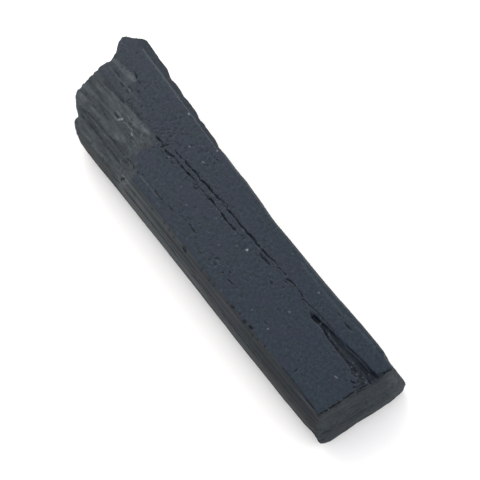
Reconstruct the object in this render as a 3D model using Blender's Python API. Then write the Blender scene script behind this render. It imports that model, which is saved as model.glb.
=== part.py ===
"""A black tourmaline crystal: one broken rod of schorl, lying on its flat underside.

The rod runs along X. Its upper prism face is level, and both long sides are ribbed by growth.
The -X end is broken in steps along the crystal's own columns, with a long sloping break on its
-Y shoulder. The +X end is one plain cross fracture, and a worn trough runs into it. The origin
is the middle of the crystal's outline, on the face that it rests on. All sizes are in millimetres
here, and MM turns them into Blender's metres.
"""

import random

import bmesh
import bpy
from mathutils import Vector, noise

MM = 0.001

# Driving dimensions
THICKNESS = 8.0  # resting face to upper prism face
ROD_ENDS = (-28.0, 27.5)  # the uncut rod, which reaches past both finished ends
CUT_MARGIN = 3.0  # how far a cutter reaches past the rod
RIB_SPACING = 0.72  # of the growth ribs up both long sides
RIB_DEPTH = 0.13
RIBBED_TOP = 6.6  # the ribs stop here, under the bevels
SIDE_Y = 9.0  # half width of the cutters, well past both sides

# The -Y side's outline, from the resting face up to the upper face's edge: z and y.
LEFT_SIDE = ((0.0, -4.80), (0.6, -5.72), (2.5, -6.25), (4.2, -6.25), (6.0, -5.98), (7.3, -5.67),
             (8.0, -5.40))
SWELL_SPAN = 2.5  # the -Y side's swelling fades out over this height at its top and its foot

# The +Y side, along the rod: x, the crest's y on the upper face, the y of the outer edge of the
# narrow bevel beside it, the widest y near the foot, and how far the -Y side swells out there.
# The steps in the bevel's outer edge are chips.
STATIONS = (
    (-28.0, 5.28, 6.54, 6.72, -0.15),
    (-24.0, 5.17, 6.45, 6.62, -0.13),
    (-22.2, 5.09, 6.34, 6.54, -0.12),
    (-20.9, 5.03, 6.22, 6.46, -0.08),
    (-19.7, 4.96, 6.19, 6.42, -0.04),
    (-19.2, 4.93, 6.08, 6.38, -0.03),
    (-18.2, 4.87, 5.66, 6.29, 0.01),
    (-17.8, 4.85, 5.54, 6.27, 0.02),
    (-17.5, 4.84, 5.73, 6.26, 0.03),
    (-16.4, 4.78, 5.73, 6.25, 0.05),
    (-15.8, 4.75, 5.52, 6.23, 0.04),
    (-15.3, 4.72, 5.39, 6.22, 0.03),
    (-14.5, 4.68, 5.50, 6.20, 0.01),
    (-13.1, 4.60, 5.42, 6.17, 0.00),
    (-12.4, 4.57, 5.27, 6.15, 0.00),
    (-12.0, 4.55, 5.05, 6.12, 0.00),
    (-11.2, 4.51, 5.23, 6.10, 0.00),
    (-10.6, 4.48, 5.10, 6.08, 0.00),
    (-9.1, 4.40, 5.06, 6.04, 0.00),
    (-8.5, 4.36, 4.92, 6.02, 0.00),
    (-7.9, 4.33, 4.58, 6.00, 0.00),
    (-6.6, 4.40, 4.67, 5.96, 0.00),
    (-4.4, 4.34, 4.54, 5.90, 0.00),
    (-2.4, 4.38, 4.56, 5.86, 0.00),
    (0.2, 4.20, 4.37, 5.80, 0.00),
    (1.4, 4.10, 4.25, 5.76, 0.00),
    (3.2, 3.97, 4.10, 5.73, 0.02),
    (5.3, 4.00, 4.15, 5.72, 0.07),
    (11.2, 3.93, 4.08, 5.70, 0.12),
    (14.5, 4.00, 4.16, 5.70, 0.10),
    (16.4, 4.12, 4.27, 5.71, 0.10),
    (18.7, 4.18, 4.33, 5.72, 0.10),
    (22.1, 4.16, 4.31, 5.72, -0.02),
    (22.6, 3.86, 4.00, 5.70, -0.08),
    (24.7, 3.84, 4.00, 5.70, -0.12),
    (27.5, 3.60, 3.90, 5.66, -0.20),
)
BEVEL_SLOPE = 1.05  # fall of the bevel over its width
FLANK = ((0.9, 1.0), (2.8, 0.78), (5.2, 0.39))  # z, and share of the way from bevel to widest
RIGHT_FOOT_IN = 0.60  # from the widest +Y point in to the resting face's edge

# The broken shoulder's columns, from the +Y one to the -Y one: the y where each starts, the x
# where its break runs out on the upper face, its drop just behind that, its drop at the stepped
# end, and the width of the riser down to it.
COLUMNS = (
    (2.38, -19.8, 0.24, 0.50, 0.62),
    (1.02, -18.8, 0.12, 0.38, 0.12),
    (-0.30, -13.0, 0.50, 1.20, 0.80),
    (-1.35, -12.9, 0.60, 1.62, 0.55),
    (-2.60, -12.4, 0.74, 2.15, 0.16),
    (-3.35, -11.5, 0.86, 2.60, 0.50),
    (-4.25, -10.8, 1.10, 3.30, 0.14),
    (-5.15, -10.9, 1.50, 3.70, 0.34),
)
FIRST_DROP = -0.02  # where the first, sloping riser leaves the upper face
STEEP_RUN = 1.3  # length over which a column falls steeply from the upper face
SHOULDER_X = (-29.0, -9.6)
SHOULDER_STEP = 0.6
SHOULDER_WAVE = (0.11, 0.35, 1.1)  # height of the break's unevenness, and its rate in x and y

# The stepped end seen from above: y, x along its upper rim, and x at its foot.
STEPPED_RIM = (
    (9.00, -22.0, -21.6),
    (6.60, -23.20, -22.4),
    (6.36, -23.90, -22.6),
    (6.16, -24.22, -22.7),
    (5.41, -24.36, -23.0),
    (4.93, -24.46, -23.2),
    (4.72, -24.80, -23.4),
    (4.55, -25.42, -23.6),
    (4.15, -25.40, -23.7),
    (3.35, -25.00, -23.9),
    (2.50, -24.15, -24.0),
    (1.45, -23.82, -23.7),
    (0.10, -24.00, -23.3),
    (-1.45, -23.88, -23.5),
    (-3.25, -23.86, -23.2),
    (-3.80, -23.62, -22.9),
    (-4.10, -23.00, -22.4),
    (-4.50, -22.66, -22.2),
    (-4.78, -21.52, -21.2),
    (-5.35, -21.50, -20.9),
    (-5.70, -21.25, -20.5),
    (-6.10, -20.55, -19.6),
    (-6.50, -19.60, -18.9),
    (-9.00, -16.60, -16.4),
)
RIM_Z = 4.2  # below this the stepped end falls in from its rim to its foot
STEP_CELL = (1.5, 1.9)  # width and height of the broken column ends
STEP_DEPTH = 0.7

# The plain end: y, and x at its upper rim, its belly and its foot.
PLAIN_RIM = (
    (9.00, 22.4, 23.6, 24.0),
    (5.40, 23.3, 24.95, 25.15),
    (4.60, 23.8, 25.27, 25.28),
    (3.70, 24.05, 25.53, 25.38),
    (2.78, 24.09, 25.50, 25.34),
    (1.15, 23.95, 25.27, 25.17),
    (-0.50, 23.66, 25.08, 25.08),
    (-2.30, 23.66, 24.96, 24.96),
    (-3.85, 23.47, 24.86, 24.90),
    (-5.00, 23.45, 24.70, 24.86),
    (-5.60, 23.3, 24.56, 24.82),
    (-6.20, 22.9, 23.9, 24.2),
    (-9.00, 21.0, 21.6, 21.8),
)
BELLY_Z = 2.6
PLAIN_WAVE = (0.09, 0.45, 0.6)
END_STEP = 0.55  # spacing of the points on both broken ends

# The trough worn into the upper face: x, its middle's y, its half width and its depth.
TROUGH = (
    (14.1, 0.73, 0.06, 0.05),
    (14.5, 0.73, 0.28, 0.42),
    (16.2, 0.92, 0.36, 0.36),
    (18.5, 1.12, 0.52, 0.36),
    (21.0, 1.27, 0.60, 0.42),
    (23.0, 1.36, 0.65, 0.55),
    (26.0, 1.90, 0.90, 0.75),
)
TROUGH_FLOOR = 0.5  # share of the trough's width that is floor
LIP = 0.4  # how far the trough's cutter stands above the upper face


def black_tourmaline():
    material = bpy.data.materials.new("black tourmaline")
    material.use_nodes = True
    surface = material.node_tree.nodes["Principled BSDF"]
    surface.inputs["Base Color"].default_value = (0.020, 0.024, 0.029, 1.0)
    surface.inputs["Roughness"].default_value = 0.40
    surface.inputs["IOR"].default_value = 1.64
    surface.inputs["Metallic"].default_value = 0.0
    return material


def spaced(start, stop, step):
    """Evenly spaced values from start to stop, about a step apart."""
    count = round((stop - start) / step)
    return [start + (stop - start) * i / count for i in range(count + 1)]


def row_at(table, key):
    """The row of a table at a key between its own, straight between its neighbours."""
    rows = sorted(table)
    for low, high in zip(rows, rows[1:]):
        if key <= high[0]:
            share = (key - low[0]) / (high[0] - low[0])
            return [a + share * (b - a) for a, b in zip(low[1:], high[1:])]
    return list(rows[-1][1:])


def ribbed(side, inward, seed):
    """A side's points from the foot up: ribs at even heights, with a groove between each two."""
    draw = random.Random(seed)
    points = [(side[0][1], 0.0)]
    for i, z in enumerate(spaced(RIB_SPACING / 2, RIBBED_TOP, RIB_SPACING / 2)):
        groove = RIB_DEPTH * draw.uniform(0.3, 1.0) * (i % 2)
        points.append((row_at(side, z)[0] + inward * groove, z))
    return points + [(y, z) for z, y in side if z > RIBBED_TOP]


def rod_outline(crest, bevel_edge, widest, swell):
    """The rod's cross-section at one station, up the -Y side and down the +Y side."""
    left = []
    for z, y in LEFT_SIDE:
        fade = min(1.0, z / SWELL_SPAN, (THICKNESS - z) / SWELL_SPAN)
        left.append((z, y - swell * fade))
    bevel_z = THICKNESS - BEVEL_SLOPE * (bevel_edge - crest)
    flank = [(z, bevel_edge + share * (widest - bevel_edge)) for z, share in FLANK]
    right = [(0.0, widest - RIGHT_FOOT_IN)] + flank + [(bevel_z, bevel_edge)]
    return ribbed(left, 1, 3) + [(crest, THICKNESS)] + ribbed(right, -1, 8)[::-1]


def loft(name, rings):
    """A closed solid through rings of points that match one to one, with flat ends."""
    shape = bmesh.new()
    rings = [[shape.verts.new(Vector(point) * MM) for point in ring] for ring in rings]
    for ring, beyond in zip(rings, rings[1:]):
        for i in range(len(ring)):
            shape.faces.new((ring[i - 1], ring[i], beyond[i], beyond[i - 1]))
    shape.faces.new(rings[0])
    shape.faces.new(rings[-1])
    bmesh.ops.triangulate(shape, faces=shape.faces)
    bmesh.ops.recalc_face_normals(shape, faces=shape.faces)
    mesh = bpy.data.meshes.new(name)
    shape.to_mesh(mesh)
    shape.free()
    solid = bpy.data.objects.new(name, mesh)
    bpy.context.scene.collection.objects.link(solid)
    return solid


def wave(amounts, along, across):
    """A broken surface's unevenness: height times smooth noise at two rates."""
    height, along_rate, across_rate = amounts
    spot = Vector((along * along_rate, across * across_rate, 0.0))
    return height * (noise.noise(spot) + 0.5 * noise.noise(spot * 2.3))


def rod():
    rings = []
    for x, *station in STATIONS:
        rings.append([(x, y, z) for y, z in rod_outline(*station)])
    return loft("tourmaline_crystal", rings)


def column_drop(x, run_out, near, far):
    """How far a column's break lies under the upper face; above it past where it runs out."""
    behind = run_out - x
    steep = near * min(behind / STEEP_RUN, 1.0)
    length = run_out - STEEP_RUN - min(rim for y, rim, foot in STEPPED_RIM)
    gentle = max(0.0, behind - STEEP_RUN) / length
    return steep + (far - near) * gentle


def shoulder_cutter():
    """Everything above the -Y shoulder's break: its columns, with a riser between each two."""
    rings = []
    ends = [column[0] for column in COLUMNS[1:]] + [-SIDE_Y]
    for x in spaced(*SHOULDER_X, SHOULDER_STEP):
        start = COLUMNS[0][0]
        first = FIRST_DROP if x < COLUMNS[0][1] else -LIP
        profile = [(start + LIP, -LIP), (start, first)]
        for (y, run_out, near, far, riser), end in zip(COLUMNS, ends):
            drop = column_drop(x, run_out, near, far)
            for share in (0.0, 0.5, 1.0):
                across = y - riser - share * (y - riser - end)
                profile.append((across, drop + wave(SHOULDER_WAVE, x, across)))
        ring = [(x, y, THICKNESS - drop) for y, drop in profile]
        above = THICKNESS + CUT_MARGIN
        rings.append(ring + [(x, -SIDE_Y, above), (x, start + LIP, above)])
    return loft("shoulder_cutter", rings)


def stepped_x(y, z):
    """Where the stepped end lies at y and z."""
    rim, foot = row_at(STEPPED_RIM, y)
    inside = min(1.0, max(0.0, (RIM_Z - z) / RIM_Z))
    cell = noise.cell(Vector((y / STEP_CELL[0], z / STEP_CELL[1], 4.0)))
    return rim + inside * (foot - rim) + STEP_DEPTH * cell * min(1.0, 2.0 * inside)


def plain_x(y, z):
    """Where the plain end lies at y and z."""
    rim, belly, foot = row_at(PLAIN_RIM, y)
    heights = ((0.0, foot), (BELLY_Z, belly), (THICKNESS, rim))
    return row_at(heights, min(THICKNESS, max(0.0, z)))[0] + wave(PLAIN_WAVE, y, z)


def end_cutter(name, surface_x, far_x):
    """Everything past a broken end: level rings, each with the break on one side."""
    rings = []
    for z in [-CUT_MARGIN] + spaced(-0.2, THICKNESS + 0.2, END_STEP) + [THICKNESS + CUT_MARGIN]:
        ring = [(surface_x(y, z), y, z) for y in spaced(-SIDE_Y, SIDE_Y, END_STEP)]
        rings.append(ring + [(far_x, SIDE_Y, z), (far_x, -SIDE_Y, z)])
    return loft(name, rings)


def trough_cutter():
    rings = []
    for x, middle, half, depth in TROUGH:
        floor = half * TROUGH_FLOOR
        flare = half * (1.0 + LIP)
        profile = ((-flare, -LIP), (-half, 0.0), (-floor, depth), (floor, depth), (half, 0.0),
                   (flare, -LIP))
        rings.append([(x, middle + across, THICKNESS - drop) for across, drop in profile])
    return loft("trough_cutter", rings)


def cut(solid, cutter):
    cutter.hide_render = True
    cutter.display_type = "WIRE"
    boolean = solid.modifiers.new(cutter.name, "BOOLEAN")
    boolean.operation = "DIFFERENCE"
    boolean.solver = "MANIFOLD"  # the exact solver loses the whole rod; both meshes are closed
    boolean.object = cutter


def main():
    for thing in list(bpy.data.objects):
        bpy.data.objects.remove(thing)
    crystal = rod()
    crystal.data.materials.append(black_tourmaline())
    cut(crystal, shoulder_cutter())
    cut(crystal, trough_cutter())
    cut(crystal, end_cutter("stepped_end_cutter", stepped_x, ROD_ENDS[0] - CUT_MARGIN))
    cut(crystal, end_cutter("plain_end_cutter", plain_x, ROD_ENDS[1] + CUT_MARGIN))


main()
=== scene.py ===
import math

import bpy
import numpy as np
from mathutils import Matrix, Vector, noise


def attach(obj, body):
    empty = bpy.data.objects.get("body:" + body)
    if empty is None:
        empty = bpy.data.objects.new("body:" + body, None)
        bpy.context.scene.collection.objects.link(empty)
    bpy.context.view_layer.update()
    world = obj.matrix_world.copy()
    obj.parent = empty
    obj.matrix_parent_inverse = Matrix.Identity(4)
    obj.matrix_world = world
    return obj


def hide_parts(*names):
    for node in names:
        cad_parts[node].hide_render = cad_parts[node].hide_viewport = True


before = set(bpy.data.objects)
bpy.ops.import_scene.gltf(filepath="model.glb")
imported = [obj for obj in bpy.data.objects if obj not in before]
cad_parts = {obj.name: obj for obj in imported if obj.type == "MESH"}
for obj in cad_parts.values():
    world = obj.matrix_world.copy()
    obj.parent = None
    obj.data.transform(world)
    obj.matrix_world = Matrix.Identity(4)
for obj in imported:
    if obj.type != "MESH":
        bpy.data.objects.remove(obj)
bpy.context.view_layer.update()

mm = 0.001  # the crystal is worked in millimetres, and goes back to metres at the end
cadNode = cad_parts["tourmaline_crystal"]
print("frame loaded", [round(side / mm, 2) for side in cadNode.dimensions])

view = {
    "azimuth": 52.9,  # degrees round from the -Y side
    "elevation": 68.0,
    "lens": 135.0,
    "distance": 200.0,  # mm
    "target": (1.4, 0.75, 4.0),  # mm
    "nearest": 0.01,  # m
}

room = {
    "floorSize": 3.0,  # m
    "floorColour": "#efeeed",
    "floorRoughness": 0.9,
    "floorSpecular": 0.2,
    "wallColour": "#ffffff",
    "wallStrength": 1.62,  # the bright walls of the light tent
    "roofColour": "#e6efff",
    "roofStrength": 0.60,  # its dim roof, where the camera looks in
    "roofEdges": (0.82, 0.985),  # upward part of the direction where the walls turn into the roof
    "keyColour": "#fffaf2",
    "keyPower": 6.0,  # W
    "keySize": 0.7,  # m
    "keyPlace": (-0.74, 0.12, 0.60),  # m
}


def toLinear(hexColour):
    # sRGB hex to the linear colour that Blender works in
    parts = [int(hexColour[i:i + 2], 16) / 255 for i in (1, 3, 5)]
    return [c / 12.92 if c <= 0.04045 else ((c + 0.055) / 1.055) ** 2.4 for c in parts] + [1.0]


def addNode(tree, kind, values=None, links=None, **settings):
    node = tree.nodes.new("ShaderNode" + kind)
    for name, value in settings.items():
        setattr(node, name, value)
    for name, value in (values or {}).items():
        node.inputs[name].default_value = value
    for name, source in (links or {}).items():
        tree.links.new(source, node.inputs[name])
    return node


def between(limits):
    # the values that a Map Range takes in
    return {"From Min": limits[0], "From Max": limits[1]}


def emptyTree(owner):
    owner.use_nodes = True
    owner.node_tree.nodes.clear()
    return owner.node_tree


def deselectAll():
    bpy.ops.object.select_all(action="DESELECT")


def makeActive(thing):
    deselectAll()
    thing.select_set(True)
    bpy.context.view_layer.objects.active = thing


def rescale(thing, factor):
    makeActive(thing)
    thing.scale = (factor, factor, factor)
    bpy.ops.object.transform_apply(location=False, rotation=False, scale=True)


scene = bpy.context.scene
scene.view_settings.view_transform = "Standard"
scene.view_settings.look = "None"

world = bpy.data.worlds.new("light tent")
tree = emptyTree(world)
direction = addNode(tree, "SeparateXYZ",
                    links={0: addNode(tree, "TexCoord").outputs["Generated"]})
overhead = addNode(tree, "MapRange", between(room["roofEdges"]),
                   {"Value": direction.outputs["Z"]}, interpolation_type="SMOOTHSTEP")
brightness = addNode(tree, "MapRange", {"To Min": room["wallStrength"],
                                        "To Max": room["roofStrength"]},
                     {"Value": overhead.outputs[0]})
cloth = addNode(tree, "Mix", {6: toLinear(room["wallColour"]), 7: toLinear(room["roofColour"])},
                {0: overhead.outputs[0]}, data_type="RGBA")
tent = addNode(tree, "Background", links={"Color": cloth.outputs[2],
                                          "Strength": brightness.outputs[0]})
addNode(tree, "OutputWorld", links={"Surface": tent.outputs[0]})
scene.world = world

azimuth, elevation = math.radians(view["azimuth"]), math.radians(view["elevation"])
target = Vector(view["target"]) * mm
back = Vector((math.sin(azimuth) * math.cos(elevation), -math.cos(azimuth) * math.cos(elevation),
               math.sin(elevation)))
deselectAll()
bpy.ops.object.camera_add(location=target + back * view["distance"] * mm,
                          rotation=back.to_track_quat("Z", "Y").to_euler())
camera = bpy.context.object
camera.data.lens = view["lens"]
camera.data.clip_start = view["nearest"]
scene.camera = camera

deselectAll()
bpy.ops.object.light_add(type="AREA", location=room["keyPlace"],
                         rotation=Vector(room["keyPlace"]).to_track_quat("Z", "Y").to_euler())
key = bpy.context.object
key.name = "softbox"
key.data.energy = room["keyPower"]
key.data.size = room["keySize"]
key.data.color = toLinear(room["keyColour"])[:3]

deselectAll()
bpy.ops.mesh.primitive_plane_add(size=room["floorSize"], location=(0, 0, 0))
floor = bpy.context.object
floor.name = "floor"
floorPaint = bpy.data.materials.new("matt white paper")
tree = emptyTree(floorPaint)
paper = addNode(tree, "BsdfPrincipled", {"Base Color": toLinear(room["floorColour"]),
                                         "Roughness": room["floorRoughness"],
                                         "Specular IOR Level": room["floorSpecular"]})
addNode(tree, "OutputMaterial", links={"Surface": paper.outputs[0]})
floor.data.materials.append(floorPaint)
print("view, light and floor")

body = {
    "joined": 0.0005,  # mm, within which the solid's loose corners are joined
    "voxel": 0.12,  # mm, the net that everything is shaped on
    "top": 8.0,  # mm, the upper face's height
    "shareSteps": 10,  # how finely a region's edge fades
    "apart": (3.1, 1.7, 0.9),  # mm between two reliefs' grain, so that none repeats another
    "triangles": 196000,  # what it is thinned to at the end
    "keepUpper": 0.0002,  # how much the thinning spares the upper faces
}

# Worn and broken textures that are raised on the surface: where, the grain's length, width
# and height in mm, how high it stands in mm, and where its zero lies (1 only cuts in).
usualRelief = {"zero": 0.5, "detail": 2}
reliefs = [
    {"where": "sides", "grain": (30, 0.5, 0.5), "height": 0.2, "zero": 0.42},
    {"where": "sides", "grain": (8, 0.22, 0.22), "height": 0.08, "zero": 0.4, "detail": 1},
    {"where": "sides", "grain": (0.7, 0.35, 0.35), "height": 0.05},
    {"where": "under", "grain": (24, 0.6, 0.6), "height": 0.08, "zero": 1.0},
    {"where": "prism", "grain": (9, 1.6, 1.0), "height": 0.035},
    {"where": "prism", "grain": (1.1, 0.5, 0.5), "height": 0.03, "detail": 3},
    {"where": "prism", "grain": (0.34, 0.3, 0.3), "height": 0.03, "detail": 1},
    {"where": "shoulder", "grain": (7, 0.45, 0.45), "height": 0.14},
    {"where": "shoulder", "grain": (5, 0.24, 0.24), "height": 0.16},
    {"where": "shoulder", "grain": (0.5, 0.3, 0.3), "height": 0.06},
    {"where": "bevel", "grain": (0.9, 0.7, 0.7), "height": 0.14, "zero": 0.35, "detail": 3},
    {"where": "plainEnd", "grain": (2.0, 3.0, 1.6), "height": 0.22, "zero": 0.45, "detail": 3},
    {"where": "plainEnd", "grain": (0.6, 4.0, 0.4), "height": 0.1},
    {"where": "plainEnd", "grain": (0.4, 0.4, 0.4), "height": 0.08},
    {"where": "steppedEnd", "grain": (2.4, 0.5, 0.9), "height": 0.3, "zero": 0.4},
    {"where": "steppedEnd", "grain": (0.4, 0.4, 0.4), "height": 0.08, "detail": 3},
]

crystal = bpy.data.objects.new("crystal", cadNode.data.copy())
scene.collection.objects.link(crystal)
crystal.data.materials.clear()
rescale(crystal, 1 / mm)
bpy.ops.object.mode_set(mode="EDIT")
bpy.ops.mesh.select_all(action="SELECT")
bpy.ops.mesh.remove_doubles(threshold=body["joined"])
bpy.ops.mesh.normals_make_consistent(inside=False)
bpy.ops.object.mode_set(mode="OBJECT")

net = crystal.modifiers.new("net", "REMESH")
net.mode = "VOXEL"
net.voxel_size = body["voxel"]
net.use_smooth_shade = True
bpy.ops.object.modifier_apply(modifier=net.name)
print("net", len(crystal.data.vertices), "points")


def readAll(items, name, columns=3, kind=float):
    values = np.empty(len(items) * columns, dtype=kind)
    items.foreach_get(name, values)
    return values.reshape(-1, columns)


def shapeOf(mesh):
    # its points, and the normal at each
    return readAll(mesh.vertices, "co"), readAll(mesh.vertex_normals, "vector")


def ramp(values, low, high):
    share = np.clip((values - low) / (high - low), 0, 1)
    return share * share * (3 - 2 * share)


def unevenness(points, size, seed):
    # smooth noise of about -1 to 1 at each point, in lumps of this size in mm
    spots = points / np.array(size, dtype=float) + (seed * 17.3, seed * 5.1, seed * 9.7)
    return np.array([noise.noise(Vector(spot)) for spot in spots.tolist()])


# The shoulder's edge on the upper face, from the +Y side round to the -Y one: x, y.
breakEdge = [(-30, 2.35), (-20.0, 2.3), (-19.6, 1.6), (-18.6, 1.0), (-13.2, -0.1), (-12.2, -0.6),
             (-12.1, -1.3), (-12.4, -1.9), (-12.7, -2.5), (-12.9, -3.2), (-12.8, -3.9),
             (-12.2, -4.2), (-10.9, -4.3), (-10.4, -5.0), (-10.6, -6.6), (-30, -6.6)]

# Where each kind of surface fades in: the low and the high place in mm, or part of the normal,
# and with a minus the same towards the other side.
borders = {
    "up": {"nz": (0.35, 0.75)},
    "bevel": {"ny": (0.35, 0.6), "nz": (0.3, 0.5), "z": (6.2, 6.8), "y": (3.8, 4.0),
              "-x": (5.0, 7.5)},
    "shoulder": {"below the top": (0.02, 0.25)},
    "prism": {"z": (7.7, 7.95)},
    "plainEnd": {"nx": (0.35, 0.75), "x": (22.5, 23.4)},
    "steppedEnd": {"-nx": (0.3, 0.7), "-x": (12.0, 19.0)},
    "trough": {"x": (11.0, 12.0), "-|y|": (-3.2, -2.8), "z": (6.0, 6.4)},
    "sides": {"|ny|": (0.3, 0.6)},
    "upper": {"nz": (0.2, 0.4), "z": (3.0, 4.0)},
    "under": {"-nz": (0.5, 0.9), "-z": (-0.3, -0.05)},
    "snapped": {"-y": (0.2, 1.0)},  # where the shoulder is broken most
    "patch": {"z": (4.0, 5.0)},
    "far": {"-x": (11, 14)},  # towards the stepped end
    # where the painted highlight along the +Y edge lies
    "rim": {"ny": (0.1, 0.35), "nz": (0.1, 0.3), "z": (7.2, 7.6), "x": (-8, -5)},
}


def insideOf(outline, spots):
    # which spots lie inside a closed outline
    inside = np.zeros(len(spots), dtype=bool)
    for (ax, ay), (bx, by) in zip(outline, outline[1:] + outline[:1]):
        if ay == by:
            continue
        crosses = (ay > spots[:, 1]) != (by > spots[:, 1])
        inside ^= crosses & (spots[:, 0] < (bx - ax) * (spots[:, 1] - ay) / (by - ay) + ax)
    return inside


def regionsOf(points, normals):
    # how far each point belongs to each kind of surface, from its place and its normal
    x, y, z = points.T
    nx, ny, nz = normals.T
    measures = {"x": x, "y": y, "z": z, "nx": nx, "ny": ny, "nz": nz, "-x": -x, "-y": -y,
                "-z": -z, "-nx": -nx, "-nz": -nz, "-|y|": -np.abs(y), "|ny|": np.abs(ny),
                "below the top": body["top"] - z}
    share = {name: math.prod(ramp(measures[of], *limits) for of, limits in edges.items())
             for name, edges in borders.items()}
    up, bevel = share["up"], share["bevel"]
    ends = np.maximum(share["plainEnd"], share["steppedEnd"])
    share["shoulder"] = insideOf(breakEdge, points[:, :2]) * up * share["shoulder"]
    share["prism"] = up * share["prism"] * (1 - share["shoulder"]) * (1 - bevel)
    share["sides"] = share["sides"] * (1 - ends) * (1 - bevel) * (1 - share["trough"]) * (1 - up)
    return share


def addGroup(name, shares):
    group = crystal.vertex_groups.new(name=name)
    steps = np.round(shares * body["shareSteps"]).astype(int)
    for step in range(1, body["shareSteps"] + 1):
        group.add(np.flatnonzero(steps == step).tolist(), step / body["shareSteps"], "REPLACE")


regions = regionsOf(*shapeOf(crystal.data))
for name in sorted({relief["where"] for relief in reliefs}):
    addGroup(name, regions[name])

guides = []
for i, relief in enumerate({**usualRelief, **relief} for relief in reliefs):
    guide = bpy.data.objects.new("guide", None)
    guide.scale = relief["grain"]
    guide.location = [step * i for step in body["apart"]]
    scene.collection.objects.link(guide)
    guides.append(guide)
    grain = bpy.data.textures.new("grain", "CLOUDS")
    grain.noise_scale = 1.0
    grain.noise_depth = relief["detail"]
    grain.noise_basis = "ORIGINAL_PERLIN"
    raised = crystal.modifiers.new(relief["where"], "DISPLACE")
    raised.texture = grain
    raised.texture_coords = "OBJECT"
    raised.texture_coords_object = guide
    raised.vertex_group = relief["where"]
    raised.strength = relief["height"]
    raised.mid_level = relief["zero"]
bpy.context.view_layer.update()
makeActive(crystal)
for raised in list(crystal.modifiers):
    bpy.ops.object.modifier_apply(modifier=raised.name)
for guide in guides:
    bpy.data.objects.remove(guide)
print("reliefs raised")

# The faces that lines lie on: which two coordinates lie in each, the way out of it, and the
# least part of a normal that points that way. "walls" is the upper face with its deep places.
faceSides = {
    "top": ((0, 1), (0, 0, 1), 0.25),
    "walls": ((0, 1), (0, 0, 1), -0.3),
    "left": ((0, 2), (0, -1, 0), 0.25),
    "end": ((1, 2), (1, 0, 0), 0.25),
}
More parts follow.
